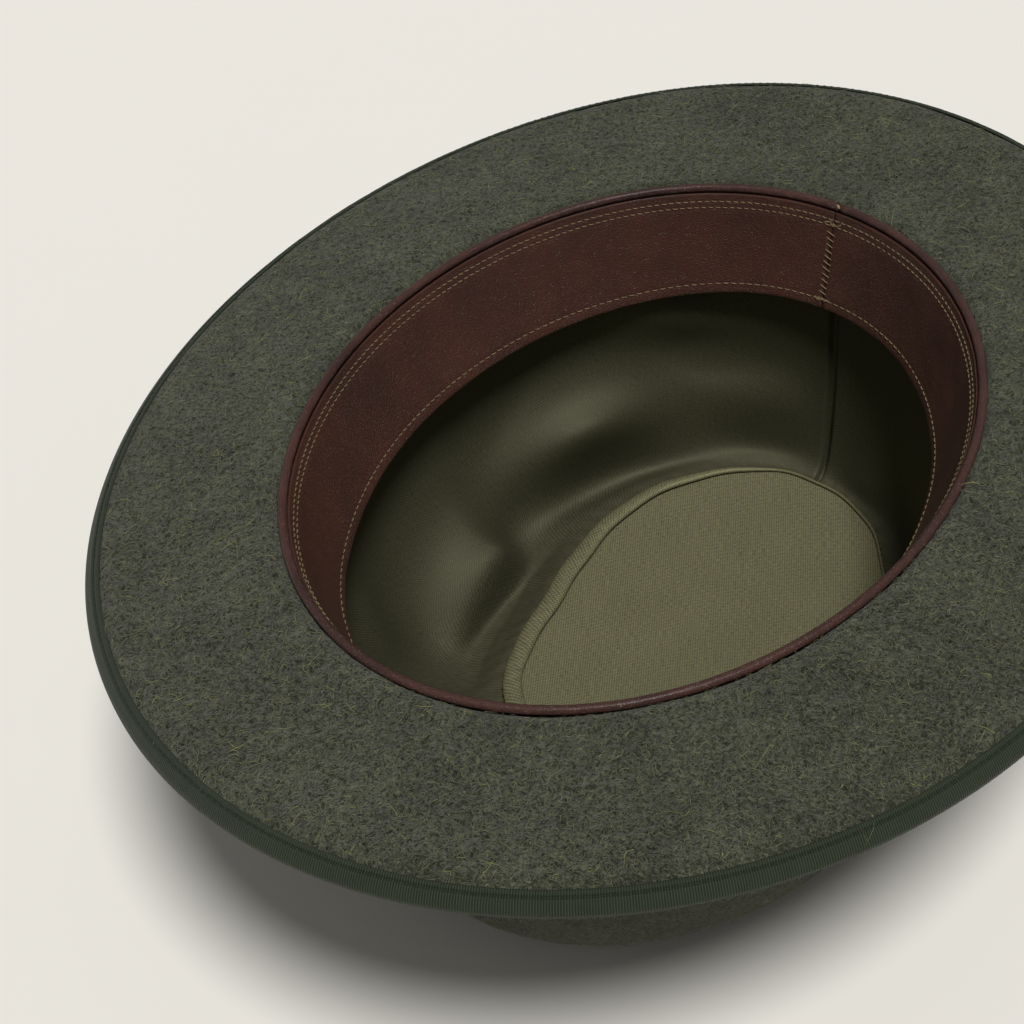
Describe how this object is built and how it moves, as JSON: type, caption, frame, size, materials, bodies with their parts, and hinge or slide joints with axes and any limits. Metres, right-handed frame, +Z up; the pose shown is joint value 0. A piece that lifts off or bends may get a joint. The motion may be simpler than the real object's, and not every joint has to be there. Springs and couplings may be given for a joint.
{
  "type": "bowler hat",
  "caption": "Stiff green felt hat with a domed crown, curled ribbon-bound brim, leather sweatband and satin lining, lying crown down.",
  "frame": {"origin": "middle of the flat spot on top of the crown that the hat rests on when it lies crown down", "axes": "+Z up, out of the head opening; -Y towards the front of the hat, +Y towards its back seams; -X is the wearer's left, where the bow is"},
  "size_m": [0.2724, 0.3144, 0.127],
  "materials": {
    "felt": "brushed felt",
    "grosgrain": "ribbed ribbon",
    "green_thread": "thread",
    "cane": "plain",
    "piping_leather": "polished",
    "band_leather": "fine grain",
    "tan_thread": "thread",
    "tape": "woven",
    "satin": "satin",
    "olive_thread": "thread"
  },
  "bodies": {
    "root": {"felt_body": "felt", "brim_binding": "grosgrain", "binding_stitches": "green_thread", "hat_band": "grosgrain", "bow_loops": "grosgrain", "bow_knot": "grosgrain", "band_tacks": "green_thread", "reed_core": "cane", "reed_piping": "piping_leather", "sweatband": "band_leather", "reed_stitches": "tan_thread", "hem_stitches": "tan_thread", "seam_tape": "tape", "back_seam_stitches": "tan_thread", "seam_bar_tacks": "tan_thread", "lining_side": "satin", "lining_tip": "satin", "tip_welt": "satin", "tip_seam_stitches": "olive_thread", "lining_seam_stitches": "olive_thread", "lining_tacks": "olive_thread"}
  },
  "joints": []
}
